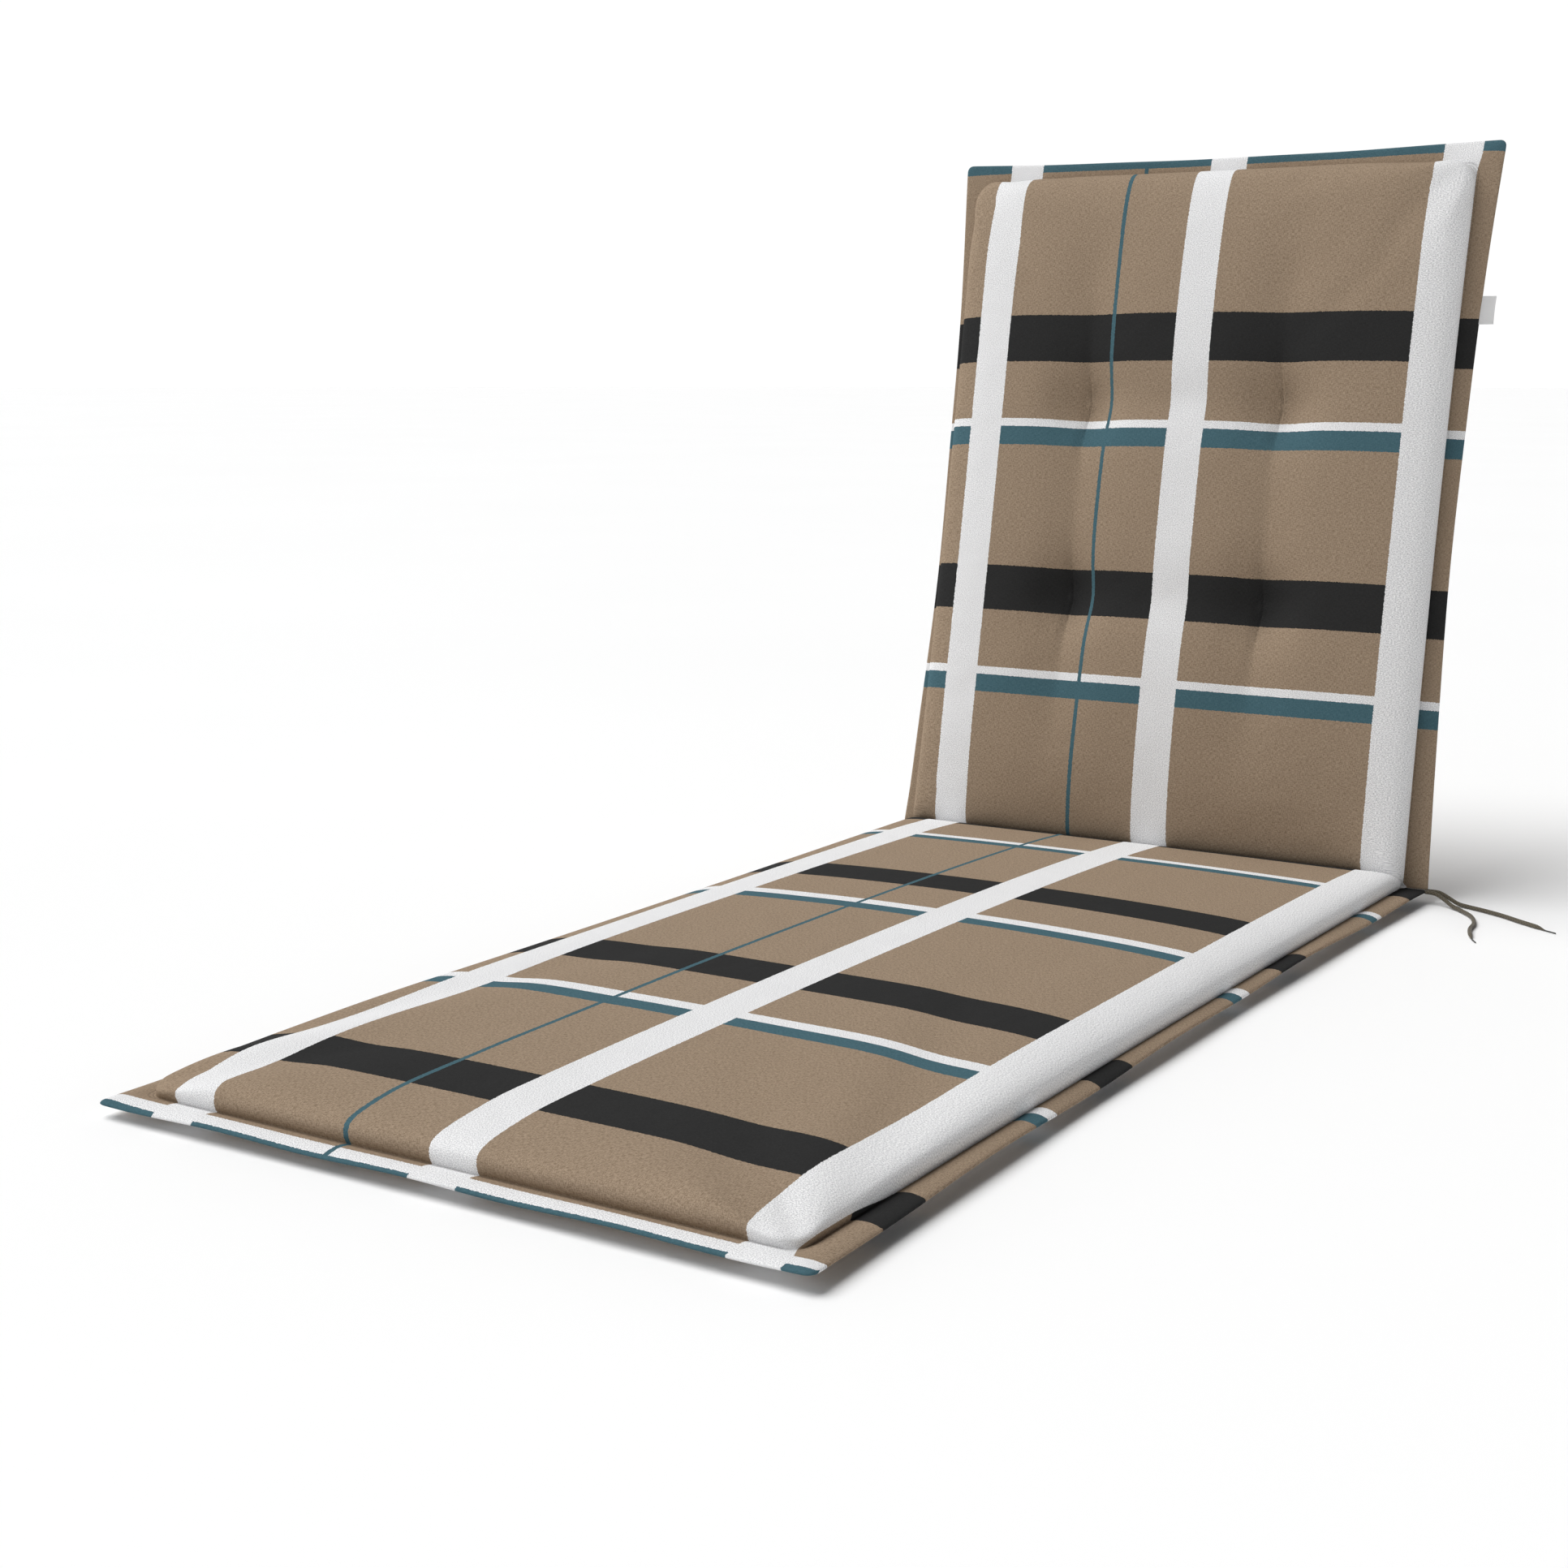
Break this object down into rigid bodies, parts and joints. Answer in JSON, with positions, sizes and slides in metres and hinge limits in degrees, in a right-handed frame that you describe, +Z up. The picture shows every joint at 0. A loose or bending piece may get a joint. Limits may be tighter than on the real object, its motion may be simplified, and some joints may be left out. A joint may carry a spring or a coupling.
{
  "type": "sun lounger cushion",
  "caption": "Long filled lounger cushion folded at a hinge seam into a flat seat and a leaning tufted back, with a flat sewn border, a side tab and a tie.",
  "frame": {"origin": "middle of the cushion's footprint on the surface it rests on, measured without the tie's free ends", "axes": "+Z up, +Y along the cushion from the foot end towards the back, +X across its width towards the label and the tie"},
  "size_m": [0.7418, 1.3046, 0.7477],
  "materials": {
    "seat_cloth": "woven plaid cloth, matt",
    "back_cloth": "woven plaid cloth, matt",
    "label_tape": "woven satin tape",
    "tie_cord": "braided cord, matt"
  },
  "bodies": {
    "root": {"seat_pad": "seat_cloth", "back_pad": "back_cloth", "label": "label_tape", "tie_long": "tie_cord", "tie_short": "tie_cord"}
  },
  "joints": []
}
